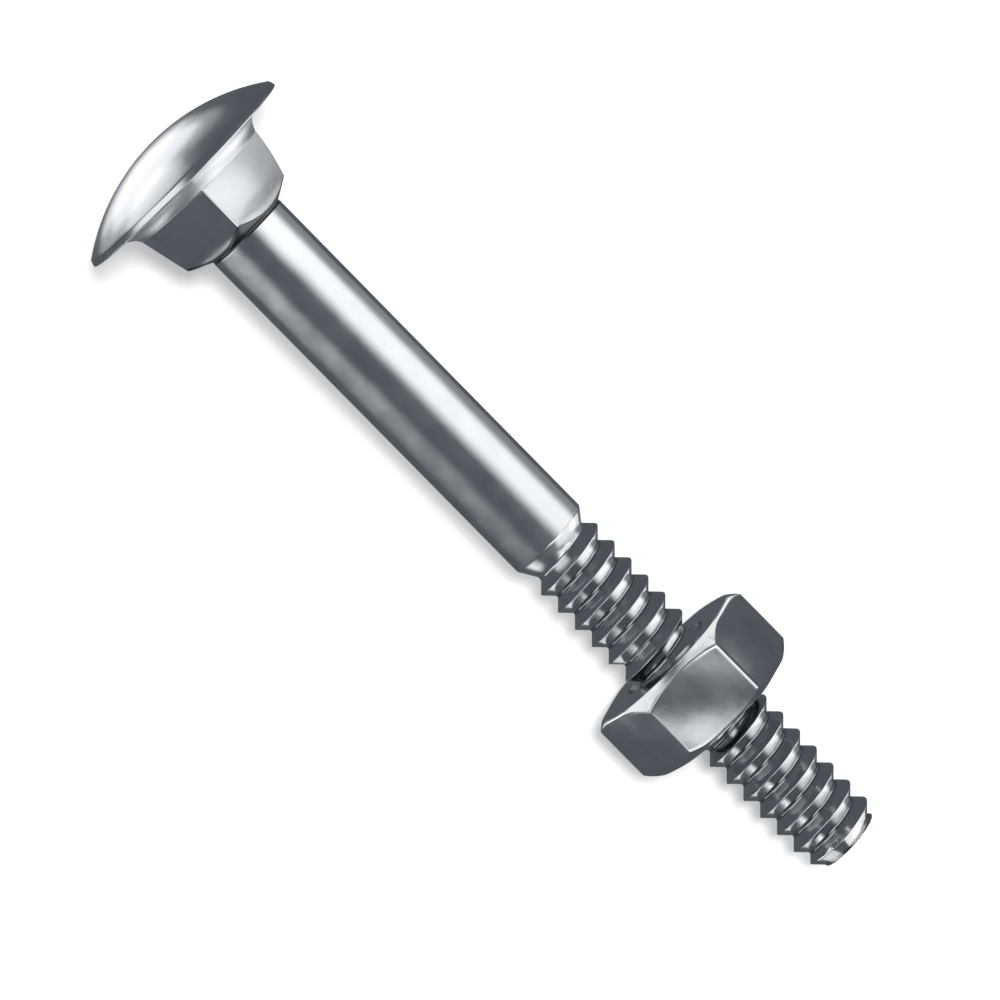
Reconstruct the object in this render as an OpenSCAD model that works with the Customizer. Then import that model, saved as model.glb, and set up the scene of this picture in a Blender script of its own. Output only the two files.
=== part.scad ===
// Carriage bolt with its hex nut run part of the way onto the thread.
//
// The bolt lies along +X. The origin is on its axis, in the plane of the head's
// underside: the domed head is at negative X and the tip is at +X. +Z is up, with
// one corner of the square neck and one flat of the nut facing up.

/* [Bolt] */
// Length from the underside of the head to the tip
bolt_length = 60; // [50:1:120]
// Diameter of the plain shank
shank_d = 5.77; // [5.4:0.01:6.2]

/* [Head] */
// Diameter over the rim of the head
head_d = 16.13; // [14.5:0.01:20]
// Height of the head from its underside to the top of the dome
head_height = 3.05; // [2.4:0.05:5]
// Thickness of the blunt rim
rim_thickness = 0.45; // [0.3:0.05:1]
// Radius of the round collar that blends the underside into the neck
collar_fillet = 1.6; // [1.2:0.05:2]
// Length of the collar from the underside of the head
collar_length = 1.07; // [0.8:0.01:1.15]
// Step from the neck's corners out to the edge of the collar
collar_step = 0.05; // [0.02:0.01:0.2]

/* [Square neck] */
// Length from the underside of the head to the end of the neck
neck_length = 5.15; // [4.5:0.05:7]
// Angle at which each flat leans in towards the shank, in degrees
neck_draft = 9.3; // [4:0.1:10]
// How far the flats stand out from the shank where the neck ends
neck_proud = 0.02; // [0.01:0.01:0.2]
// Length of the cone that takes the neck's corners down to the shank
shoulder_length = 0.75; // [0.6:0.05:1.4]

/* [Thread] */
// Length of the threaded end, its run-out included
thread_length = 27.7; // [22:0.1:40]
// Diameter over the crests
thread_d = 5.7; // [5.2:0.01:6.2]
// Depth from crest to root
thread_depth = 0.66; // [0.4:0.01:0.8]
// Distance from crest to crest, right-hand
thread_pitch = 1.547; // [1.2:0.001:2]
// Width of the flat at the root
root_flat = 0.16; // [0.1:0.01:0.3]
// Length of the cone between the shank and the first root
run_out = 0.9; // [0.7:0.05:1.5]
// Part of a turn over which the first crest rises to its full height
crest_rise = 0.45; // [0.42:0.01:0.6]
// Radial height of the chamfer that ends the thread at the tip
tip_chamfer = 0.8; // [0.6:0.05:1.2]
// Angle of that chamfer from the axis, in degrees
tip_angle = 43; // [30:1:50]

/* [Nut] */
// Width across the flats
nut_w = 10.91; // [10:0.01:12.5]
// Thickness from face to face
nut_thickness = 5.22; // [4.5:0.01:6]
// Radial width of the chamfer at the corners
nut_chamfer_w = 0.95; // [0.6:0.01:1.2]
// Depth of the chamfer at the corners
nut_chamfer_depth = 0.8; // [0.3:0.01:1]
// Radial width of the countersink at each mouth of the hole
nut_mouth_w = 0.3; // [0.1:0.05:0.6]
// Thread that stands out past the nut
thread_past_nut = 11.6; // [2:0.1:15]
// Radial clearance of the hole around the crests
nut_clearance = 0.06; // [0.03:0.01:0.1]

/* [Hidden] */

// Colour of bright zinc plate on steel
zinc = [0.66, 0.68, 0.7];
// Lines along the threaded end, spread over each turn
thread_lines = 32;
// Step left at the end of the shank, so that the run-out starts just inside it
shank_step = 0.04;
// Shortest stretch along the axis between two points of such a line
least_row = 0.02;
// Overlap of solids that are joined into one
join = 0.2;
$fn = 96;

shank_r = shank_d / 2;
shank_end = bolt_length - thread_length;

head_r = head_d / 2;
dome_height = head_height - rim_thickness;
dome_r = (head_r ^ 2 + dome_height ^ 2) / (2 * dome_height);

shoulder_start = neck_length - shoulder_length;
collar_r = neck_corner_r(collar_length) + collar_step;
collar_centre_r = collar_r + sqrt(collar_fillet ^ 2 - (collar_fillet - collar_length) ^ 2);

crest_r = thread_d / 2;
root_r = crest_r - thread_depth;
tip_r = crest_r - tip_chamfer;
thread_start = shank_end + run_out;
flank = (thread_pitch - root_flat) / 2;
last_turn = ceil((bolt_length - thread_start) / thread_pitch);

nut_face_x = bolt_length - thread_past_nut - nut_thickness;
nut_corner_r = nut_w / sqrt(3);
nut_hole_r = crest_r + nut_clearance;

// Half of the neck's width across the flats, at a distance x from the head
function neck_half(x) = shank_r + neck_proud + (neck_length - x) * tan(neck_draft);

// Distance from the axis to the neck's corners, at a distance x from the head
function neck_corner_r(x) = neck_half(x) * sqrt(2);

// Radius that the chamfer at the tip leaves, at a distance x from the head
function chamfer_r(x) = tip_r + (bolt_length - x) * tan(tip_angle);

// One foot, the crest and the other foot of the thread's ridge, as [x, radius],
// a number of turns after its start
function ridge(turn) =
    let (x = thread_start + thread_pitch * turn, rise = min(1, turn / crest_rise))
    [
        [x - flank * rise, root_r],
        [x, root_r + thread_depth * rise],
        [x + flank * rise, root_r]
    ];

// One line along the surface of the threaded end, as [x, radius] from the shank to
// the tip, at the given part of a turn
function thread_line(part) = [
    [shank_end, shank_r - shank_step],
    [thread_start, root_r],
    for (k = [0 : last_turn]) if (k + part > 0)
        for (p = ridge(k + part))
            if (p[0] > thread_start + least_row && p[0] < bolt_length - least_row)
                [p[0], min(p[1], chamfer_r(p[0]))],
    [bolt_length, min(root_r, tip_r)]
];

// The triangles between two neighbouring lines a and b, whose points are numbered
// from first_a and first_b. i and j are the points reached on them.
function strip(a, b, first_a, first_b, i = 0, j = 0) =
    let (at_end_a = i == len(a) - 1, at_end_b = j == len(b) - 1)
    at_end_a && at_end_b ? []
    : !at_end_a && (at_end_b || a[i + 1][0] <= b[j + 1][0])
        ? [
            [first_a + i, first_a + i + 1, first_b + j],
            each strip(a, b, first_a, first_b, i + 1, j)
        ]
        : [
            [first_a + i, first_b + j + 1, first_b + j],
            each strip(a, b, first_a, first_b, i, j + 1)
        ];

// Lays what was drawn along +Z along +X
module along_x() {
    rotate([0, 90, 0]) children();
}

module dome() {
    intersection() {
        translate([0, 0, dome_r - head_height]) sphere(dome_r);
        translate([0, 0, -head_height]) cylinder(r = head_r, h = head_height);
    }
}

// Round collar under the head, hollowed to a fillet
module collar() {
    rotate_extrude() difference() {
        translate([0, -join]) square([collar_centre_r, collar_length + join]);
        translate([collar_centre_r, collar_fillet]) circle(collar_fillet);
    }
}

// Bar of the neck's section between two opposite flats
module neck_wedge() {
    foot = neck_half(0);
    end = neck_half(neck_length);
    rotate([90, 0, 0]) linear_extrude(2 * foot + join, center = true)
        polygon([[-foot, 0], [foot, 0], [end, neck_length], [-end, neck_length]]);
}

// Square neck that narrows on all four sides. A cone that ends at the shank takes off
// its corners from shoulder_start on.
module square_neck() {
    slope = (neck_corner_r(shoulder_start) - shank_r) / shoulder_length;
    intersection() {
        rotate([0, 0, 45]) neck_wedge();
        rotate([0, 0, 135]) neck_wedge();
        cylinder(r1 = shank_r + slope * neck_length, r2 = shank_r, h = neck_length);
    }
}

// Run-out, right-hand thread and chamfered tip
module threaded_end() {
    lines = [for (k = [0 : thread_lines - 1]) thread_line(k / thread_lines)];
    firsts = [
        for (k = 0, n = 0; k < thread_lines; n = n + len(lines[k]), k = k + 1) n
    ];
    points = [
        for (k = [0 : thread_lines - 1], p = lines[k])
            let (angle = 360 * k / thread_lines - 90)
            [p[1] * cos(angle), p[1] * sin(angle), p[0]]
    ];
    sides = [
        for (k = [0 : thread_lines - 1])
            let (next = (k + 1) % thread_lines)
            each strip(lines[k], lines[next], firsts[k], firsts[next])
    ];
    shank_cap = [for (k = [0 : thread_lines - 1]) firsts[k]];
    tip_cap = [for (k = [thread_lines - 1 : -1 : 0]) firsts[k] + len(lines[k]) - 1];
    polyhedron(points, [each sides, shank_cap, tip_cap]);
}

module bolt() {
    color(zinc) along_x() {
        dome();
        collar();
        square_neck();
        cylinder(r = shank_r, h = shank_end);
        threaded_end();
    }
}

// Half section of a round bar with the nut's chamfer at both ends
module nut_chamfers() {
    face_r = nut_corner_r - nut_chamfer_w;
    rotate_extrude() polygon([
        [0, 0], [face_r, 0],
        [nut_corner_r, nut_chamfer_depth],
        [nut_corner_r, nut_thickness - nut_chamfer_depth],
        [face_r, nut_thickness], [0, nut_thickness]
    ]);
}

// The hole with its countersunk mouths
module nut_hole() {
    translate([0, 0, -join]) cylinder(r = nut_hole_r, h = nut_thickness + 2 * join);
    cylinder(r1 = nut_hole_r + nut_mouth_w, r2 = nut_hole_r, h = nut_mouth_w);
    translate([0, 0, nut_thickness - nut_mouth_w])
        cylinder(r1 = nut_hole_r, r2 = nut_hole_r + nut_mouth_w, h = nut_mouth_w);
}

module nut() {
    color(zinc) translate([nut_face_x, 0, 0]) along_x() difference() {
        intersection() {
            rotate([0, 0, 30]) cylinder(r = nut_corner_r, h = nut_thickness, $fn = 6);
            nut_chamfers();
        }
        nut_hole();
    }
}

bolt();
nut();
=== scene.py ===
import math

import bmesh
import bpy
import numpy as np
from mathutils import Matrix, Vector


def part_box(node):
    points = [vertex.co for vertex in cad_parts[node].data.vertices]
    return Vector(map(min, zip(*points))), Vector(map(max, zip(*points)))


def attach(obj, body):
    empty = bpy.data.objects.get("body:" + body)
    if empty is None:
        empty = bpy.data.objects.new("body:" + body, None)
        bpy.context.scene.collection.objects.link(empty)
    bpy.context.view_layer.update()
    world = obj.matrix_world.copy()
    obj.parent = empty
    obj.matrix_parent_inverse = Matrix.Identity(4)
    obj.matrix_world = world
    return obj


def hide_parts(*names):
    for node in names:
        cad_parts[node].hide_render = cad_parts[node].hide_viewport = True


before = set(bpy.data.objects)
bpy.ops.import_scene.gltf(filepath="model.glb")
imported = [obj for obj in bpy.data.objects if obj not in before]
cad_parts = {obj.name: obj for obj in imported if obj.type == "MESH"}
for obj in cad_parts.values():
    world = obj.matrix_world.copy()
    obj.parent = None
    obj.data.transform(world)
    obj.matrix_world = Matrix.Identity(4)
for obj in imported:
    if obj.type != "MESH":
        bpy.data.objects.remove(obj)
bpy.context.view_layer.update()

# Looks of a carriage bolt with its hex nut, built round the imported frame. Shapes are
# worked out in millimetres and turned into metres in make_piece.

MM = 0.001

# Bolt, in the sizes of the part's source, except that its collar, neck and shoulder
# follow the photo and are a little shorter
BOLT_LENGTH = 60.0
SHANK_R = 2.885
HEAD_R = 8.065
HEAD_HEIGHT = 3.05
COLLAR_FILLET = 1.6
COLLAR_LENGTH = 0.93
COLLAR_STEP = -0.03
NECK_LENGTH = 5.03
NECK_SLOPE = math.tan(math.radians(9.3))
NECK_PROUD = 0.02
SHOULDER_LENGTH = 0.7
THREAD_LENGTH = 27.7
RUN_OUT_LENGTH = 0.9
PITCH = 1.547
CREST_R = 2.85
THREAD_DEPTH = 0.66
CREST_RISE = 0.45
TIP_CHAMFER = 0.8
TIP_SLOPE = math.tan(math.radians(43))
SHANK_END = BOLT_LENGTH - THREAD_LENGTH
THREAD_START = SHANK_END + RUN_OUT_LENGTH
ROOT_R = CREST_R - THREAD_DEPTH
TIP_R = CREST_R - TIP_CHAMFER

# Small forms of the head. RIM_LEAN is how far the rim leans towards the dome, in
# degrees, and a round ends it. DOME_END and DOME_TURN are parts of the dome's half angle.
RIM_THICKNESS = 0.45
RIM_ROUND = 0.06
RIM_LEAN = 16
RIM_LIFT = 0.1
DOME_END = 0.98
DOME_TURN = 0.985

# The head and neck are off the shank's axis, along Y, and the head leans
HEAD_SHIFT = -0.3
NECK_SHIFT = -0.16
HEAD_TILT = 0.013

# Small forms of the neck: rounded corners, crowned flats, corners that bulge
# lengthwise, most of all on the side towards +Y, and a groove at its end
NECK_CORNER_ROUND = 0.13
NECK_CROWN = 0.12
NECK_CROWN_FADE = 1.2
NECK_BARREL = 0.08
NECK_BARREL_SKEW = 0.9
NECK_GROOVE = 0.045
SHOULDER_ROUND = 0.07

# Small forms of the shank and the thread. RUN_OUT_SKEW moves the edge and the foot of
# the run-out, in millimetres per turn. The chamfer and the face at the tip lean, and
# TIP_DISH is how deep that face is dished.
SHANK_EDGE_ROUND = 0.2
RUN_OUT_SKEW = (0.6, 1.15)
CREST_ROUND = 0.035
FLANK_SLOPE = 0.963
TIP_SHIFT = 0.1
TIP_SKEW = 0.05
TIP_DISH = 0.145

# Nut, in the sizes of the part's source
NUT_THICKNESS = 5.22
NUT_HALF_W = 5.455
THREAD_PAST_NUT = 11.6
NUT_CLEARANCE = 0.06
NUT_MOUTH_W = 0.3
NUT_START = BOLT_LENGTH - THREAD_PAST_NUT - NUT_THICKNESS
NUT_MOUTH_R = CREST_R + NUT_CLEARANCE + NUT_MOUTH_W

# Small forms of the nut. The chamfer on the head's side has its own depth at each
# corner, and reaches in from the flats too. NUT_UPPER_FLAT is the angle of the odd
# flat, in degrees from +Y, and its distance from the axis.
NUT_CORNER_ROUND = 0.17
NUT_CROWN = 0.2
NUT_CHAMFER_SLOPE = 1.19
NUT_CHAMFER_DEPTH = 0.53
NUT_CHAMFER_EXTRA = 0.55
NUT_CHAMFER_SKEW = 0.09
NUT_CHAMFER_LEAST = 0.2
NUT_CHAMFER_BLEND = 0.3
NUT_TIP_CHAMFER_DEPTH = 0.8
NUT_TIP_CHAMFER_SKEW = 0.13
NUT_FACE_TILT = 0.02
NUT_UPPER_FLAT = (32.0, 5.27)
# The nut's internal thread, which meshes with the bolt's at rest and at whole turns of
# the thread from there
NUT_MINOR_R = 2.33
THREAD_GAP = 0.05

# Columns of points round the bolt and round the nut, and how far they crowd together
# at the corners
BOLT_COLUMNS = 192
NUT_COLUMNS = 240
NECK_CROWD = 0.8
NUT_CROWD = 0.75


def smoothstep(low, high, x):
    t = np.clip((x - low) / (high - low), 0, 1)
    return t * t * (3 - 2 * t)


def smooth_min(a, b, span):
    """The lower of two values, rounded off where they come within span of each other."""
    near = np.maximum(span - np.abs(a - b), 0)
    return np.minimum(a, b) - near ** 2 / (4 * span)


def column_turns(columns):
    return np.arange(columns) / columns


def angles(columns, corners, crowd):
    """Angles of the columns from +Y towards +Z. They crowd together at a number of
    corners, the first of them at angle 0."""
    even = 2 * math.pi * column_turns(columns)
    if not crowd:
        return even
    return even - crowd / corners * np.sin(corners * even)


def polygon_r(angle, corners, half_w, round_r):
    """Distance from the axis to a regular polygon with rounded corners, one of them
    at angle 0. half_w is its half width across the flats."""
    step = math.pi / corners
    off_corner = np.abs((angle + step) % (2 * step) - step)
    flat = half_w / np.cos(step - off_corner)
    centre = (half_w - round_r) / math.cos(step)
    reach = np.sqrt(np.maximum(round_r ** 2 - (centre * np.sin(off_corner)) ** 2, 0))
    touch = step - np.arctan2((half_w - round_r) * math.tan(step), half_w)
    return np.where(off_corner < touch, centre * np.cos(off_corner) + reach, flat)


class Skin:
    """A closed surface made of rings of points round the X axis."""

    def __init__(self, columns, corners, shift=lambda x: 0 * x, tilt=lambda x: 0 * x):
        self.columns, self.corners, self.shift, self.tilt = columns, corners, shift, tilt
        self.points, self.faces, self.inward = [], [], False

    def add_face(self, *corners):
        self.faces.append(corners[::-1] if self.inward else corners)

    def ring(self, x, r, crowd=0.0):
        """Adds a ring and returns the numbers of its points."""
        angle = angles(self.columns, self.corners, crowd)
        x, r = x + 0 * angle, r + 0 * angle
        y = r * np.cos(angle)
        first = len(self.points)
        self.points += list(zip(x - self.tilt(x) * y, y + self.shift(x), r * np.sin(angle)))
        return list(range(first, len(self.points)))

    def join(self, a, b):
        """Faces between two rings, b being the one further along the outline."""
        for j in range(self.columns):
            k = (j + 1) % self.columns
            self.add_face(a[j], a[k], b[k], b[j])

    def cap(self, ring, x, at_start):
        self.points.append((x, self.shift(x), 0.0))
        centre = len(self.points) - 1
        for j in range(self.columns):
            k = (j + 1) % self.columns
            self.add_face(*((centre, ring[k], ring[j]) if at_start else (centre, ring[j], ring[k])))

    def rings(self, outline, start=None):
        """Adds rings from (x, r, crowd) rows, each joined to the one before it."""
        for x, r, crowd in outline:
            now = self.ring(x, r, crowd)
            if start is not None:
                self.join(start, now)
            start = now
        return start

    def threads(self, start, lines, end):
        """Joins two rings by lines of (x, r) points, one for each column, whose points
        follow the thread."""
        angle = angles(self.columns, self.corners, 0)
        columns = []
        for j, line in enumerate(lines):
            first = len(self.points)
            c, s = math.cos(angle[j]), math.sin(angle[j])
            self.points += [(x, r * c, r * s) for x, r in line]
            columns.append([start[j], *range(first, first + len(line)), end[j]])
        for j in range(self.columns):
            self.zip_up(columns[j], columns[(j + 1) % self.columns])

    def zip_up(self, a, b):
        i = j = 0
        while i < len(a) - 1 or j < len(b) - 1:
            step_a = j == len(b) - 1 or (
                i < len(a) - 1 and self.points[a[i + 1]][0] <= self.points[b[j + 1]][0]
            )
            if step_a:
                self.add_face(a[i], b[j], a[i + 1])
                i += 1
            else:
                self.add_face(a[i], b[j], b[j + 1])
                j += 1


def arc(centre, radius, start, end, steps):
    """Points of an arc as (x, r), from one angle to another, in degrees, measured from
    +X towards growing r."""
    turn = np.radians(np.linspace(start, end, steps + 1))
    return [(centre[0] + radius * math.cos(t), centre[1] + radius * math.sin(t)) for t in turn]


# Bolt


def neck_half(x):
    return SHANK_R + NECK_PROUD + (NECK_LENGTH - x) * NECK_SLOPE


def shoulder_slope():
    corner = neck_half(NECK_LENGTH - SHOULDER_LENGTH) * math.sqrt(2)
    return (corner - SHANK_R) / SHOULDER_LENGTH


def shoulder_r(x):
    return SHANK_R + shoulder_slope() * (NECK_LENGTH - x)


def head_shift(x):
    """The head and neck sit a little off the shank's axis."""
    head = (HEAD_SHIFT - NECK_SHIFT) * (1 - smoothstep(0.0, COLLAR_LENGTH, x))
    return head + NECK_SHIFT * (1 - smoothstep(NECK_LENGTH - SHOULDER_LENGTH, NECK_LENGTH, x))


def head_tilt(x):
    """The head also leans a little to the side."""
    return HEAD_TILT * (1 - smoothstep(0.0, COLLAR_LENGTH, x))


def curve(start, middle, end, steps):
    """Points of a curve that leaves start and reaches end in line with middle."""
    start, middle, end = np.array(start), np.array(middle), np.array(end)
    return [
        tuple((1 - t) ** 2 * start + 2 * t * (1 - t) * middle + t * t * end)
        for t in np.linspace(0, 1, steps + 1)
    ]


def head_outline():
    """The head and its collar, from near the top of the dome to the collar's edge."""
    dome_height = HEAD_HEIGHT - RIM_THICKNESS
    dome_r = (HEAD_R ** 2 + dome_height ** 2) / (2 * dome_height)
    dome_x = dome_r - HEAD_HEIGHT
    edge = math.asin(HEAD_R / dome_r)
    points = []
    for t in np.linspace(0.02, DOME_END, 32) * edge:
        points.append((dome_x - dome_r * math.cos(t), dome_r * math.sin(t)))
    # The blunt rim leans a little to the dome's side, and a small round ends it
    lean = math.radians(RIM_LEAN)
    round_x, round_r = -RIM_LIFT - RIM_ROUND, HEAD_R - RIM_ROUND
    low = (round_x - RIM_ROUND * math.sin(lean), round_r + RIM_ROUND * math.cos(lean))
    fall = math.tan(edge * DOME_TURN)
    height = points[-1][1] - low[1] - points[-1][0] / fall + low[0] * math.tan(lean)
    turn_x = height / (math.tan(lean) - 1 / fall)
    turn = (turn_x, low[1] + (turn_x - low[0]) * math.tan(lean))
    points += curve(points[-1], turn, low, 8)[1:-1]
    points += arc((round_x, round_r), RIM_ROUND, 90 + RIM_LEAN, 0, 7)
    collar_r = neck_half(COLLAR_LENGTH) * math.sqrt(2) + COLLAR_STEP
    dip = COLLAR_FILLET - COLLAR_LENGTH
    fillet_r = collar_r + math.sqrt(COLLAR_FILLET ** 2 - dip ** 2)
    for t in (0.08, 0.3, 0.6, 0.9):
        points.append((-RIM_LIFT * (1 - t) ** 2, HEAD_R - RIM_ROUND + t * (fillet_r - HEAD_R)))
    end = 180 + math.degrees(math.atan2(dip, fillet_r - collar_r))
    points += arc((COLLAR_FILLET, fillet_r), COLLAR_FILLET, 180, 450 - end, 14)
    return points


def pillow(angle, corners):
    """1 at the middle of a polygon's flats, falling to 0 at its corners."""
    step = math.pi / corners
    off_flat = (angle % (2 * step)) - step
    return 1 - (np.tan(off_flat) / math.tan(step)) ** 2


def neck_corner(x, angle):
    """The neck's radius, with crowned flats and corners that bulge a little lengthwise."""
    middle = (COLLAR_LENGTH + NECK_LENGTH) / 2
    barrel = NECK_BARREL * (1 + NECK_BARREL_SKEW * np.cos(angle))
    barrel = barrel * (1 - ((x - middle) / (NECK_LENGTH - middle)) ** 2)
    fade = smoothstep(NECK_LENGTH, NECK_LENGTH - NECK_CROWN_FADE, x)
    crown = NECK_CROWN * pillow(angle, 4) * fade
    return polygon_r(angle, 4, neck_half(x), NECK_CORNER_ROUND) + barrel + crown


def shoulder_start(angle):
    """Distance along the bolt where the cone of the shoulder cuts into the neck, for
    each column."""
    low = np.full_like(angle, COLLAR_LENGTH)
    high = np.full_like(angle, NECK_LENGTH)
    for _ in range(30):
        middle = (low + high) / 2
        outside = neck_corner(middle, angle) < shoulder_r(middle)
        low, high = np.where(outside, middle, low), np.where(outside, high, middle)
    return (low + high) / 2


def thread_profile():
    """One pitch of the thread from root to root, as distances from the crest and radii."""
    lean = math.atan(FLANK_SLOPE)
    stretch = math.sqrt(1 + FLANK_SLOPE ** 2) - 1
    apex = CREST_R + CREST_ROUND * stretch
    half = PITCH / 2
    root_round = (FLANK_SLOPE * half + ROOT_R - apex) / stretch
    crest = [
        (CREST_ROUND * math.sin(t), CREST_R - CREST_ROUND * (1 - math.cos(t)))
        for t in np.linspace(0, 1, 3) * lean
    ]
    root = [
        (half - root_round * math.sin(t), ROOT_R + root_round * (1 - math.cos(t)))
        for t in np.linspace(1, 0, 5) * lean
    ]
    first, last = crest[-1][0], root[0][0]
    flank = [(d, apex - FLANK_SLOPE * d) for d in (first + 0.03, (first + last) / 2, last - 0.03)]
    side = crest + flank + root
    return [(-d, r) for d, r in side[:0:-1]] + side[:-1]


def cut_line(line, limit_r, keep_lower):
    """A line of (x, r) points cut by a cone, with points where the two cross."""
    out = []
    for (x0, r0), (x1, r1) in zip(line, line[1:] + line[-1:]):
        f0, f1 = r0 - limit_r(x0), r1 - limit_r(x1)
        out.append((x0, min(r0, limit_r(x0)) if keep_lower else max(r0, limit_r(x0))))
        if f0 * f1 < 0:
            t = f0 / (f0 - f1)
            x = x0 + t * (x1 - x0)
            out.append((x, limit_r(x)))
    return out


def run_out(turn):
    """Where the cone of the run-out leaves the shank and where it reaches the root, at a
    part of a turn from +Y. Both come later where the first groove does."""
    half_turn = np.minimum(turn, 1 - turn)
    return SHANK_END + RUN_OUT_SKEW[0] * half_turn, THREAD_START + RUN_OUT_SKEW[1] * half_turn


def bolt_threads(turn):
    """The line of the thread's surface in the column at a part of a turn from +Y."""
    start = THREAD_START + PITCH * ((turn - 0.5) % 1)
    line = [(x, ROOT_R) for x in np.linspace(SHANK_END, THREAD_START - 0.05, 5)]
    for k in range(int((BOLT_LENGTH - THREAD_START) / PITCH) + 2):
        rise = min(1, (k + (turn - 0.5) % 1) / CREST_RISE)
        for d, r in thread_profile():
            x = start + PITCH * k + d
            if x > THREAD_START:
                line.append((x, ROOT_R + rise * (r - ROOT_R)))
    edge, foot = run_out(np.array(turn))
    slope = (SHANK_R - ROOT_R) / (foot - edge)
    line = cut_line(line, lambda x: ROOT_R + (foot - x) * slope, False)
    tip_r = TIP_R + TIP_SHIFT * math.cos(2 * math.pi * turn)
    line = cut_line(line, lambda x: tip_r + (BOLT_LENGTH - x) * TIP_SLOPE, True)
    return [(x, r) for x, r in line if edge + 0.12 < x < BOLT_LENGTH - 0.14]


def head_rows():
    head = head_outline()
    last = len(head) - 1
    return [(x, r, NECK_CROWD * smoothstep(last - 20, last, i)) for i, (x, r) in enumerate(head)]


def neck_rows(angle, collar_r):
    """The step from the collar in to the neck's flats, then the neck."""
    foot_r = neck_corner(COLLAR_LENGTH, angle)
    step_x, step_r = COLLAR_LENGTH + 0.05, collar_r - 0.05
    rows = [(COLLAR_LENGTH + 0.03, np.maximum(collar_r - 0.015, foot_r))]
    for t in (0.0, 0.3, 0.7, 0.95):
        rows.append((step_x, np.maximum(step_r + t * (foot_r - step_r), foot_r)))
    for x in (0.07, 0.1, 0.2, 0.5, 1.0, 1.5, 2.0, 2.5):
        rows.append((COLLAR_LENGTH + x, neck_corner(COLLAR_LENGTH + x, angle)))
    before = COLLAR_LENGTH + 2.5
    for t in (0.3, 0.6, 0.85):
        x = before + t * (shoulder_start(angle) - SHOULDER_ROUND - before)
        rows.append((x, neck_corner(x, angle)))
    return [(x, r, NECK_CROWD) for x, r in rows]


def shoulder_rows(angle):
    """The rounded edge where the cone cuts into the neck, then the cone."""
    cut = shoulder_start(angle)
    foot = NECK_LENGTH - 0.02
    reach = np.clip(0.5 * (foot - cut), 0.02, SHOULDER_ROUND)
    span = 1.6 * reach
    rows = []
    for t in (-1.0, -0.66, -0.33, 0.0, 0.33, 0.66, 1.0):
        x = cut + t * reach
        edge_r = smooth_min(neck_corner(x, angle), shoulder_r(x), span)
        rows.append((x, np.maximum(edge_r, SHANK_R)))
    for t in (0.25, 0.5, 0.75, 1.0):
        x = cut + reach + t * np.maximum(foot - cut - reach, 0.01)
        rows.append((x, np.maximum(shoulder_r(x), SHANK_R + 0.004)))
    return [(x, r, NECK_CROWD) for x, r in rows]


def shank_rows():
    """The groove at the neck's end, the plain shank and its rounded end."""
    rows = []
    for x, dip in ((0.03, 0.3), (0.06, 0.8), (0.09, 1), (0.12, 0.8), (0.16, 0.3), (0.19, 0.05)):
        rows.append((NECK_LENGTH + x, SHANK_R - dip * NECK_GROOVE, NECK_CROWD))
    even = 4.8
    for x in (0.22, 0.3, 0.6, 1.2, 2.4, even):
        rows.append((NECK_LENGTH + x, SHANK_R, NECK_CROWD * (1 - x / even)))
    for x in (14.0, 18.0, 22.0, 26.0, 29.0, 31.0, 31.9):
        rows.append((x, SHANK_R, 0.0))
    edge, foot = run_out(column_turns(BOLT_COLUMNS))
    lean = np.arctan2(foot - edge, SHANK_R - ROOT_R)
    edge_x = edge - SHANK_EDGE_ROUND * np.tan((math.pi / 2 - lean) / 2)
    for t in np.linspace(0, 1, 6):
        turn = math.pi / 2 + t * (lean - math.pi / 2)
        x = edge_x + SHANK_EDGE_ROUND * np.cos(turn)
        rows.append((x, SHANK_R - SHANK_EDGE_ROUND * (1 - np.sin(turn)), 0.0))
    return rows


def tip_rows(across):
    """The end of the chamfer and the dished face. across is 1 at +Y and -1 at -Y."""
    edge_r = TIP_R + TIP_SHIFT * across
    end_x = BOLT_LENGTH - TIP_SKEW * edge_r * across
    dish = [(0.06, 1.6), (0.12, 1.0), (0.14, 0.4)]
    return [
        (end_x - 0.015 - 0.03 * (1 + across), edge_r + 0.01 * (1 - across), 0.0),
        (end_x, edge_r - 0.05, 0.0),
        (end_x - 0.005, edge_r - 0.16, 0.0),
        *((BOLT_LENGTH - depth, r, 0.0) for depth, r in dish),
    ]


def build_bolt():
    skin = Skin(BOLT_COLUMNS, 4, head_shift, head_tilt)
    head = head_rows()
    end = skin.rings(head)
    skin.cap(list(range(BOLT_COLUMNS)), -HEAD_HEIGHT, True)
    angle = angles(BOLT_COLUMNS, 4, NECK_CROWD)
    collar_r = head[-1][1]
    end = skin.rings(neck_rows(angle, collar_r) + shoulder_rows(angle) + shank_rows(), end)

    across = np.cos(angles(BOLT_COLUMNS, 4, 0))
    tip_x = BOLT_LENGTH - 0.12
    chamfer_r = TIP_R + TIP_SHIFT * across + (BOLT_LENGTH - tip_x) * TIP_SLOPE
    tip = skin.ring(tip_x, np.minimum(chamfer_r, ROOT_R))
    skin.threads(end, [bolt_threads(t) for t in column_turns(BOLT_COLUMNS)], tip)
    tip = skin.rings(tip_rows(across), tip)
    skin.cap(tip, BOLT_LENGTH - TIP_DISH, False)
    return skin


# Nut


def nut_hexagon(angle):
    """The nut's outside, with one flat a little closer to the axis and turned."""
    hexagon = polygon_r(angle, 6, NUT_HALF_W, NUT_CORNER_ROUND)
    turn, reach = NUT_UPPER_FLAT
    across = np.cos(angle - math.radians(turn))
    flat = np.where(across > 0.5, reach / np.maximum(across, 0.5), math.inf)
    return smooth_min(hexagon, flat, 0.1)


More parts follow.
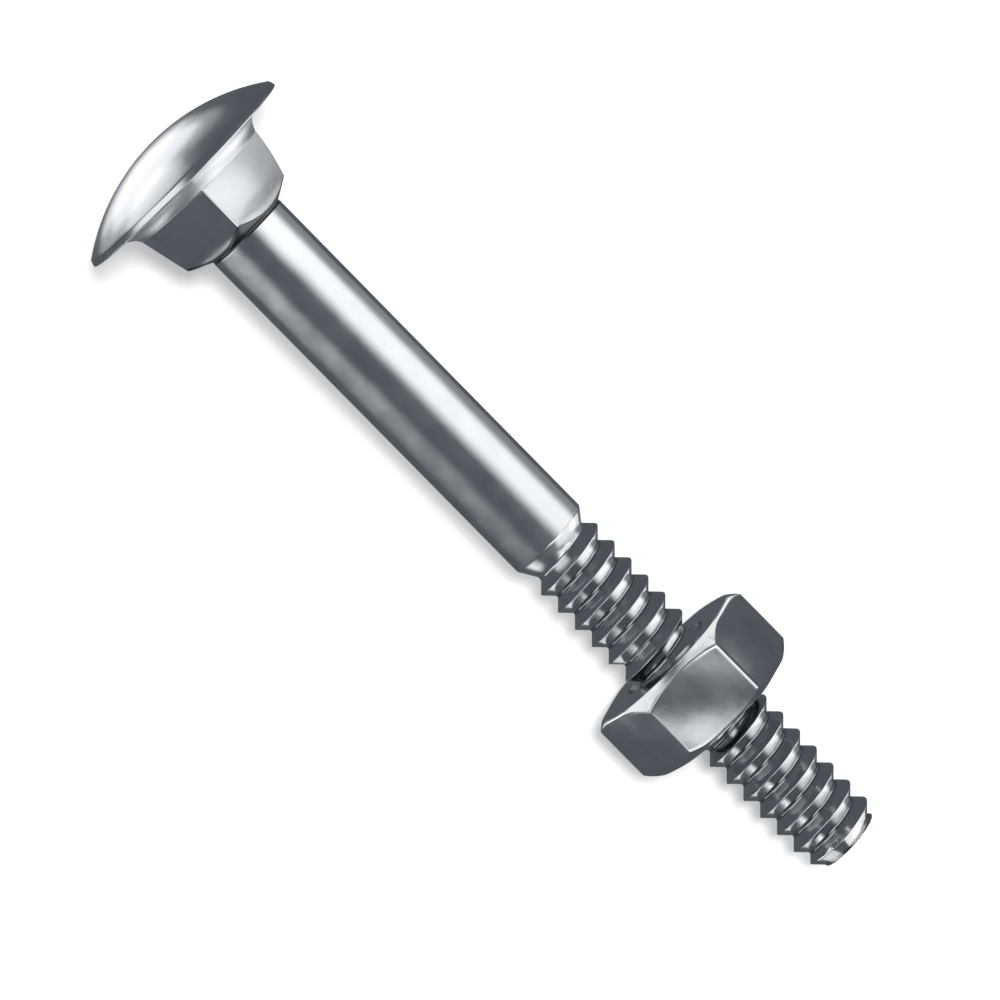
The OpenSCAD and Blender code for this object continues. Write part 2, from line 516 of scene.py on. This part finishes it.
def nut_outline(angle, depth):
    """Rings of the nut's outside, from the mouth of its hole to half way along. q is the
    distance from the face, depth that of the chamfer at a corner."""
    hexagon = nut_hexagon(angle)
    slope = NUT_CHAMFER_SLOPE
    corner_r = 2 * NUT_HALF_W / math.sqrt(3)
    cut, least = corner_r - slope * depth, hexagon - NUT_CHAMFER_LEAST
    face_r = smooth_min(cut, least, NUT_CHAMFER_BLEND)
    crease = (hexagon - face_r) / slope
    rows = [(0.0, NUT_MOUTH_R + t * (face_r - 0.07 - NUT_MOUTH_R)) for t in (0, 0.04, 0.5, 0.93, 1)]
    rows += [(0.004, face_r - 0.035), (0.018, face_r), (0.045, face_r + 0.03)]
    room = np.maximum(crease - 0.045, 0)
    for t in (0.15, 0.5, 0.85):
        q = 0.045 + t * np.maximum(room - 0.05, 0.002)
        rows.append((q, np.minimum(face_r + slope * q, hexagon - 0.01)))
    for d in (-0.04, -0.015, 0.01, 0.035, 0.06):
        q = np.maximum(crease + d, 0.05 + 0.2 * (d + 0.045))
        rows.append((q, smooth_min(hexagon, face_r + slope * q, 0.07)))
    half = NUT_THICKNESS / 2
    for t in (0.1, 0.4, 0.7, 1.0):
        rows.append((crease + 0.06 + t * (half - crease - 0.06), hexagon))
    crown = NUT_CROWN * pillow(angle, 6)
    return [(q, r + crown * (1 - (1 - q / half) ** 2) * (q > 0)) for q, r in rows]


def nut_thread_line(turn):
    """The line of the nut's internal thread in the column at a part of a turn from +Y."""
    end = NUT_START + NUT_THICKNESS
    base = THREAD_START + PITCH * ((turn - 0.5) % 1)
    first = int((NUT_START - THREAD_START) / PITCH) - 1
    root_r = CREST_R + THREAD_GAP + 0.01
    reach = 0.05 + (root_r - NUT_MINOR_R) / FLANK_SLOPE
    side = [
        (0.0, root_r), (0.03, root_r), (0.05, root_r - 0.006), (0.075, root_r - 0.028),
        (0.3, root_r - 0.25 * FLANK_SLOPE), (reach - 0.06, NUT_MINOR_R + 0.06 * FLANK_SLOPE),
        (reach - 0.02, NUT_MINOR_R + 0.017), (reach + 0.02, NUT_MINOR_R),
    ]
    profile = [(-d, r) for d, r in side[:0:-1]] + side
    line = []
    for k in range(first, first + 7):
        line += [(base + PITCH * k + d, r) for d, r in profile]
    line = cut_line(line, lambda x: NUT_MOUTH_R - (x - NUT_START), False)
    line = cut_line(line, lambda x: NUT_MOUTH_R - (end - x), False)
    return [(x, r) for x, r in line if NUT_START + 0.02 < x < end - 0.02]


def build_nut():
    skin = Skin(NUT_COLUMNS, 6)
    angle = angles(NUT_COLUMNS, 6, NUT_CROWD)
    # The chamfer's depth varies round the nut, and the face on the head's side leans
    depth = NUT_CHAMFER_DEPTH + NUT_CHAMFER_EXTRA * np.sin(angle) ** 2
    head_side = nut_outline(angle, depth + NUT_CHAMFER_SKEW * np.cos(angle))
    tip_side = nut_outline(angle, NUT_TIP_CHAMFER_DEPTH - NUT_TIP_CHAMFER_SKEW * np.sin(angle))
    crowds = [0.0, 0.3 * NUT_CROWD, 0.7 * NUT_CROWD] + [NUT_CROWD] * len(head_side)
    rows = []
    for i, (q, r) in enumerate(head_side):
        lean = NUT_FACE_TILT * smoothstep(NUT_MOUTH_R, 5.0, r) * (1 - 2 * q / NUT_THICKNESS)
        rows.append((NUT_START + q - lean * r * np.cos(angle), r, crowds[i]))
    end_x = NUT_START + NUT_THICKNESS
    rows += [(end_x - q, r, crowds[i]) for i, (q, r) in reversed(list(enumerate(tip_side[:-1])))]
    first = skin.ring(*rows[0])
    last = skin.rings(rows[1:], first)
    skin.inward = True
    skin.threads(first, [nut_thread_line(t) for t in column_turns(NUT_COLUMNS)], last)
    return skin


# Wear on the edges, and painted shade in the hollows, from how sharply the surface bends


def bend_masks(mesh):
    """Writes two values to the points: edge, where the surface is sharply convex, for wear,
    and one where it is sharply concave, which the materials darken as painted shade."""
    bm = bmesh.new()
    bm.from_mesh(mesh)
    bend = np.zeros(len(bm.verts))
    length = np.zeros(len(bm.verts))
    pairs = []
    for e in bm.edges:
        a, b = e.verts[0].index, e.verts[1].index
        pairs.append((a, b))
        if len(e.link_faces) == 2:
            angle, span = e.calc_face_angle_signed(0), sum(f.calc_area() for f in e.link_faces)
            span /= max(e.calc_length(), 1e-9)
            for v in (a, b):
                bend[v] += angle
                length[v] += span
    bm.free()
    per_mm = bend / np.maximum(length, 1e-9) * MM
    # The concave mask marks the places that the materials darken as painted shade
    edge, shaded_hollow = smoothstep(1.0, 6.0, per_mm), smoothstep(0.6, 3.0, -per_mm)
    pairs = np.array(pairs)
    for name, value in (("edge", edge), ("shaded_hollow", shaded_hollow)):
        for _ in range(2):
            total, count = value.copy(), np.ones(len(value))
            for a, b in (pairs.T, pairs.T[::-1]):
                np.add.at(total, a, value[b])
                np.add.at(count, a, 1)
            value = total / count
        mesh.attributes.new(name, "FLOAT", "POINT").data.foreach_set("value", value)


def make_piece(name, skin, body, node, material):
    mesh = bpy.data.meshes.new(name)
    points = [tuple(MM * c for c in p) for p in skin.points]
    mesh.from_pydata(points, [], skin.faces)
    mesh.validate()
    mesh.shade_smooth()
    mesh.materials.append(material)
    bend_masks(mesh)
    piece = bpy.data.objects.new(name, mesh)
    bpy.context.scene.collection.objects.link(piece)
    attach(piece, body)
    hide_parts(node)
    return piece


# Materials


class Nodes:
    """Short ways to add and link shader nodes."""

    def __init__(self, tree):
        self.tree = tree
        tree.nodes.clear()

    def add(self, kind, **values):
        node = self.tree.nodes.new(kind)
        for name, value in values.items():
            setattr(node, name, value)
        return node

    def put(self, socket, value):
        if isinstance(value, bpy.types.NodeSocket):
            self.tree.links.new(value, socket)
        else:
            socket.default_value = value

    def math(self, operation, a, b=0.0, clamp=False):
        node = self.add("ShaderNodeMath", operation=operation, use_clamp=clamp)
        self.put(node.inputs[0], a)
        self.put(node.inputs[1], b)
        return node.outputs[0]

    def noise(self, place, scale, detail=2.0, roughness=0.5):
        node = self.add("ShaderNodeTexNoise")
        self.put(node.inputs["Vector"], place)
        self.put(node.inputs["Scale"], scale)
        self.put(node.inputs["Detail"], detail)
        self.put(node.inputs["Roughness"], roughness)
        return node.outputs[0]

    def scaled(self, place, x, y, z):
        node = self.add("ShaderNodeVectorMath", operation="MULTIPLY")
        self.put(node.inputs[0], place)
        self.put(node.inputs[1], (x, y, z))
        return node.outputs[0]

    def spread(self, value, low, high, to_low=0.0, to_high=1.0, smooth=False):
        kind = "SMOOTHSTEP" if smooth else "LINEAR"
        node = self.add("ShaderNodeMapRange", interpolation_type=kind, clamp=True)
        for i, v in enumerate((value, low, high, to_low, to_high)):
            self.put(node.inputs[i], v)
        return node.outputs[0]

    def mix(self, factor, a, b):
        node = self.add("ShaderNodeMix", data_type="RGBA")
        self.put(node.inputs[0], factor)
        self.put(node.inputs[6], a)
        self.put(node.inputs[7], b)
        return node.outputs[2]

    def attribute(self, name):
        return self.add("ShaderNodeAttribute", attribute_name=name).outputs["Fac"]


# Tones of the plate, its grain and its wear, and the painted shade of each piece's dull places:
# hollows, shoulder, thread roots and bore
PLATE = ((0.74, 0.75, 0.765, 1), (0.80, 0.81, 0.82, 1))
GRAIN_TONE = (0.69, 0.71, 0.73, 1)
WORN_TONE = (0.90, 0.905, 0.91, 1)
HOLLOW_SHADE_TONE = (0.30, 0.31, 0.32, 1)
SHOULDER_SHADE_TONE = (0.07, 0.075, 0.08, 1)
ROOT_SHADE_TONE = (0.10, 0.11, 0.12, 1)
BORE_SHADE_TONE = (0.08, 0.085, 0.09, 1)


def collar_and_shoulder_shade_masks(n, x, r):
    """The rough collar, and the shoulder cone between the neck and the shank with the groove at its
    foot, which gets painted shade, from the distance along the bolt and the distance from its axis."""
    collar = n.math("MULTIPLY", n.spread(x, -0.1, 0.1), n.spread(x, 0.9, 1.15, 1, 0))
    cone_r = n.math("SUBTRACT", SHANK_R + shoulder_slope() * NECK_LENGTH,
                    n.math("MULTIPLY", x, shoulder_slope()))
    shoulder = n.math("MULTIPLY", n.spread(n.math("SUBTRACT", r, cone_r), -0.3, -0.18),
                      n.spread(x, NECK_LENGTH + 0.17, NECK_LENGTH + 0.25, 1, 0))
    near = n.spread(x, NECK_LENGTH - 0.95, NECK_LENGTH - 0.75)
    return collar, n.math("MULTIPLY", shoulder, near)


def bolt_tones(n, x, r, colour, rough):
    """Rougher collar, rougher shoulder darkened with painted shade, smoother rolled thread with
    painted shade in its roots.
    """
    collar, shoulder = collar_and_shoulder_shade_masks(n, x, r)
    rough = n.math("ADD", rough, n.math("MULTIPLY", collar, 0.16))
    rough = n.math("ADD", rough, n.math("MULTIPLY", shoulder, 0.1))
    # Painted shade: the shoulder cone and the groove at its foot are darkened almost to black
    colour = n.mix(n.math("MULTIPLY", shoulder, 0.92), colour, SHOULDER_SHADE_TONE)
    rolled = n.spread(x, THREAD_START + 0.9, THREAD_START + 1.5)
    rough = n.math("SUBTRACT", rough, n.math("MULTIPLY", rolled, 0.08))
    # Painted shade: the roots of the thread are darkened
    root = n.math("MULTIPLY", rolled, n.spread(r, ROOT_R + 0.03, ROOT_R + 0.1, 0.55, 0))
    return n.mix(root, colour, ROOT_SHADE_TONE), rough


def nut_tones(n, x, r, colour, rough):
    """Rougher bore and countersunk mouth, darkened with painted shade."""
    # Painted shade: the bore and its countersunk mouth are darkened
    bore_shade = n.spread(r, NUT_MOUTH_R, NUT_MOUTH_R + 0.05, 1, 0)
    return n.mix(bore_shade, colour, BORE_SHADE_TONE), n.math("ADD", rough, n.math("MULTIPLY", bore_shade, 0.1))


def zinc_material(name, offset, rough_range, bump_mm, tones):
    """Bright zinc plate: clouded colour, grain, fine drawn lines, worn edges, dull hollows darkened
    with painted shade.
    The offset gives each piece a noise of its own, and tones adds its own places."""
    material = bpy.data.materials.new(name)
    material.use_nodes = True
    n = Nodes(material.node_tree)
    place = n.scaled(n.add("ShaderNodeTexCoord").outputs["Object"], 1000, 1000, 1000)
    x = n.add("ShaderNodeSeparateXYZ")
    n.put(x.inputs[0], place)
    x = x.outputs[0]
    r = n.add("ShaderNodeVectorMath", operation="LENGTH")
    n.put(r.inputs[0], n.scaled(place, 0, 1, 1))
    r = r.outputs["Value"]
    shift = n.add("ShaderNodeVectorMath", operation="ADD")
    n.put(shift.inputs[0], place)
    n.put(shift.inputs[1], (offset, 2 * offset, 3 * offset))
    place = shift.outputs[0]

    clouds = n.noise(place, 0.55, 4.0, 0.6)
    orange_peel = n.noise(place, 1.6, 2.0)
    grain = n.noise(place, 12.0, 3.0, 0.7)
    drawn = n.noise(n.scaled(place, 0.15, 5.0, 5.0), 1.0, 3.0, 0.6)
    edge, shaded_hollow = n.attribute("edge"), n.attribute("shaded_hollow")
    worn = n.math("MULTIPLY", edge, n.spread(n.noise(place, 3.5, 3.0), 0.35, 0.6), True)

    colour = n.mix(n.spread(clouds, 0.3, 0.7), *PLATE)
    colour = n.mix(n.spread(grain, 0.3, 0.7, 0, 0.35), colour, GRAIN_TONE)
    colour = n.mix(n.math("MULTIPLY", worn, 0.6), colour, WORN_TONE)
    # Painted shade: the sharply concave places are darkened
    colour = n.mix(n.math("MULTIPLY", shaded_hollow, 0.65), colour, HOLLOW_SHADE_TONE)
    rough = n.spread(clouds, 0.3, 0.7, *rough_range)
    rough = n.math("ADD", rough, n.spread(grain, 0.3, 0.7, -0.03, 0.03))
    rough = n.math("ADD", rough, n.math("MULTIPLY", shaded_hollow, 0.1))
    colour, rough = tones(n, x, r, colour, rough)

    height = n.math("MULTIPLY", orange_peel, 0.3)
    height = n.math("ADD", height, n.math("MULTIPLY", drawn, 0.1))
    height = n.math("ADD", height, n.math("MULTIPLY", grain, 0.04))
    bump = n.add("ShaderNodeBump")
    n.put(bump.inputs["Strength"], 0.5)
    n.put(bump.inputs["Distance"], bump_mm * MM)
    n.put(bump.inputs["Height"], height)

    shader = n.add("ShaderNodeBsdfPrincipled")
    n.put(shader.inputs["Base Color"], colour)
    n.put(shader.inputs["Metallic"], 1.0)
    n.put(shader.inputs["Roughness"], rough)
    n.put(shader.inputs["Normal"], bump.outputs[0])
    n.put(n.add("ShaderNodeOutputMaterial").inputs[0], shader.outputs[0])
    return material


def floor_material():
    material = bpy.data.materials.new("pale_floor")
    material.use_nodes = True
    n = Nodes(material.node_tree)
    place = n.add("ShaderNodeTexCoord").outputs["Object"]
    tint = n.mix(n.noise(place, 60.0), (0.86, 0.86, 0.86, 1), (0.88, 0.88, 0.88, 1))
    shader = n.add("ShaderNodeBsdfDiffuse")
    n.put(shader.inputs["Color"], tint)
    n.put(n.add("ShaderNodeOutputMaterial").inputs[0], shader.outputs[0])
    return material


# Stage: floor, camera and light

# Half the floor's width, in metres
FLOOR_HALF = 6.0


def add_floor():
    """The floor touches the head's rim and the nut, where the part comes to rest."""
    head_low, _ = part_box("bolt")
    nut_low, nut_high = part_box("nut")
    slope = math.atan2(nut_low.z - head_low.z, nut_high.x)
    mesh = bpy.data.meshes.new("floor")
    half = FLOOR_HALF
    corners = [(-half, -half, 0), (half, -half, 0), (half, half, 0), (-half, half, 0)]
    mesh.from_pydata(corners, [], [(0, 1, 2, 3)])
    mesh.materials.append(floor_material())
    floor = bpy.data.objects.new("floor", mesh)
    bpy.context.scene.collection.objects.link(floor)
    place = Matrix.Translation((0, 0, head_low.z)) @ Matrix.Rotation(-slope, 4, "Y")
    floor.matrix_world = place
    floor.visible_glossy = False
    floor.visible_shadow = False


# The camera's view axis leans from +Z towards the head, and the bolt runs down the
# picture to the right
CAMERA_LEAN = math.radians(7.1)
CAMERA_ROLL = (0.70141, 0.71276)
CAMERA_DISTANCE = 0.4571
CAMERA_LENS = 259.7
CAMERA_TARGET = Vector((28.55, -0.473, 0)) * MM


def add_camera():
    along = Vector((math.cos(CAMERA_LEAN), 0, math.sin(CAMERA_LEAN)))
    back = Vector((-math.sin(CAMERA_LEAN), 0, math.cos(CAMERA_LEAN)))
    across = Vector((0, 1, 0))
    c, s = CAMERA_ROLL
    right, up = c * along + s * across, c * across - s * along
    data = bpy.data.cameras.new("camera")
    data.lens = CAMERA_LENS
    data.sensor_width = 36
    data.clip_start, data.clip_end = 0.01, 50
    camera = bpy.data.objects.new("camera", data)
    bpy.context.scene.collection.objects.link(camera)
    turn = Matrix((right, up, back)).transposed().to_4x4()
    camera.matrix_world = Matrix.Translation(CAMERA_TARGET + back * CAMERA_DISTANCE) @ turn
    bpy.context.scene.camera = camera


# Soft boxes of the studio, as bands along the bolt: the strength, the angles from +Z
# towards +Y where a band starts, is full, is still full and ends, and the same four for
# the part of its direction that is along +X
SOFT_BOXES = [
    (1.06, (4, 42, 80, 108), (-0.13, -0.08, 0.26, 0.48)),
    (0.18, (60, 75, 88, 104), (0.16, 0.24, 0.38, 0.5)),
    (0.22, (20, 60, 94, 110), (0.25, 0.36, 0.5, 0.62)),
    (0.85, (5, 30, 75, 105), (-0.19, -0.14, 0.0, 0.05)),
    (0.01, (-116, -75, -71, -40), (-0.05, 0.0, 0.2, 0.32)),
    (2.60, (-116, -106, -62, -36), (-0.13, -0.08, -0.01, 0.035)),
    (1.00, (-82, -68, -15, 0), (-0.92, -0.84, -0.36, -0.24)),
]
# Lamps that light one piece alone: its name, then the lamp's brightness in the metal,
# the direction towards it and its width in degrees
LAMPS = [
    ("bolt_body", 0.80, (-0.65, -0.09, -0.75), 28),
    ("bolt_body", 0.28, (-0.66, -0.12, -0.74), 42),
    ("bolt_body", 0.72, (-0.87, -0.22, -0.44), 28),
    ("bolt_body", 0.70, (-0.42, -0.08, -0.90), 20),
    ("bolt_body", 1.10, (0.52, -0.10, 0.85), 28),
    ("bolt_body", 0.18, (0.10, 0.90, -0.43), 34),
    ("bolt_body", 1.00, (0.85, 0.50, 0.0), 56),
    ("bolt_body", 1.00, (0.72, 0.28, 0.63), 46),
    ("bolt_body", 0.90, (0.76, 0.40, -0.51), 40),
    ("bolt_body", 0.75, (0.80, -0.44, -0.42), 28),
    ("bolt_body", 0.55, (0.72, -0.62, -0.28), 28),
    ("hex_nut", 1.00, (-0.76, 0.48, -0.44), 46),
    ("hex_nut", 1.00, (-0.76, -0.48, -0.44), 46),
    ("hex_nut", 0.80, (-0.40, 0.47, -0.79), 18),
    ("hex_nut", 0.80, (-0.40, -0.47, -0.79), 18),
    ("hex_nut", 0.70, (-0.98, 0.0, -0.06), 34),
    ("hex_nut", 1.35, (0.43, -0.30, 0.85), 34),
    ("hex_nut", 1.80, (-0.16, 0.30, 0.94), 28),
    ("hex_nut", 0.60, (-0.20, 0.68, -0.70), 34),
]
SURROUND = (0.090, 0.104, 0.119, 1)
# Lights for the floor alone: the name, the energy, the width in degrees and the direction
FLOOR_LIGHTS = [
    ("overhead", 2.2, 11, (-0.13, 0.13, 1)),
    ("fill", 1.6, 150, (0, 0, 1)),
]


def add_world():
    """Dim bluish surroundings with soft boxes, seen by the metal."""
    world = bpy.data.worlds.new("studio")
    bpy.context.scene.world = world
    world.use_nodes = True
    n = Nodes(world.node_tree)
    toward = n.add("ShaderNodeTexCoord").outputs["Generated"]
    axes = n.add("ShaderNodeSeparateXYZ")
    n.put(axes.inputs[0], toward)
    x, y, z = axes.outputs
    angle = n.math("ARCTAN2", y, z)
    total = None
    for strength, band, stretch in SOFT_BOXES:
        a = [math.radians(v) for v in band]
        part = n.math("MULTIPLY", n.spread(angle, a[0], a[1], smooth=True),
                      n.spread(angle, a[2], a[3], 1, 0, True))
        part = n.math("MULTIPLY", part, n.spread(x, stretch[0], stretch[1], smooth=True))
        part = n.math("MULTIPLY", part, n.spread(x, stretch[2], stretch[3], 1, 0, True))
        part = n.math("MULTIPLY", part, strength)
        total = part if total is None else n.math("ADD", total, part)
    light = n.add("ShaderNodeBackground")
    n.put(light.inputs["Color"], (1, 1, 1, 1))
    n.put(light.inputs["Strength"], total)
    dim = n.add("ShaderNodeBackground")
    n.put(dim.inputs["Color"], SURROUND)
    both = n.add("ShaderNodeAddShader")
    n.put(both.inputs[0], light.outputs[0])
    n.put(both.inputs[1], dim.outputs[0])
    n.put(n.add("ShaderNodeOutputWorld").inputs[0], both.outputs[0])


def add_lamp(name, energy, width, direction):
    """A far lamp, width degrees wide."""
    data = bpy.data.lights.new(name, "SUN")
    data.energy = energy
    data.angle = math.radians(width)
    lamp = bpy.data.objects.new(name, data)
    bpy.context.scene.collection.objects.link(lamp)
    lamp.rotation_euler = Vector(direction).to_track_quat("Z", "Y").to_euler()
    return lamp


def add_floor_lights():
    """Soft light from above for the floor and its shadow, that the metal doesn't show."""
    for name, energy, width, direction in FLOOR_LIGHTS:
        add_lamp(name, energy, width, direction).visible_glossy = False


def add_piece_lamps():
    lit = {}
    for i, (name, brightness, direction, width) in enumerate(LAMPS):
        if name not in lit:
            lit[name] = bpy.data.collections.new("lit_" + name)
            lit[name].objects.link(bpy.data.objects[name])
        energy = brightness * math.pi * math.sin(math.radians(width / 2)) ** 2
        lamp = add_lamp(f"lamp_{i}_{name}", energy, width, direction)
        lamp.light_linking.receiver_collection = lit[name]


bpy.context.scene.view_settings.view_transform = "Standard"
add_camera()
bolt_zinc = zinc_material("bolt_zinc", 3.7, (0.18, 0.24), 0.022, bolt_tones)
nut_zinc = zinc_material("nut_zinc", 11.3, (0.15, 0.21), 0.01, nut_tones)
make_piece("bolt_body", build_bolt(), "bolt", "bolt", bolt_zinc)
make_piece("hex_nut", build_nut(), "nut", "nut", nut_zinc)
add_floor()
add_world()
add_floor_lights()
add_piece_lamps()
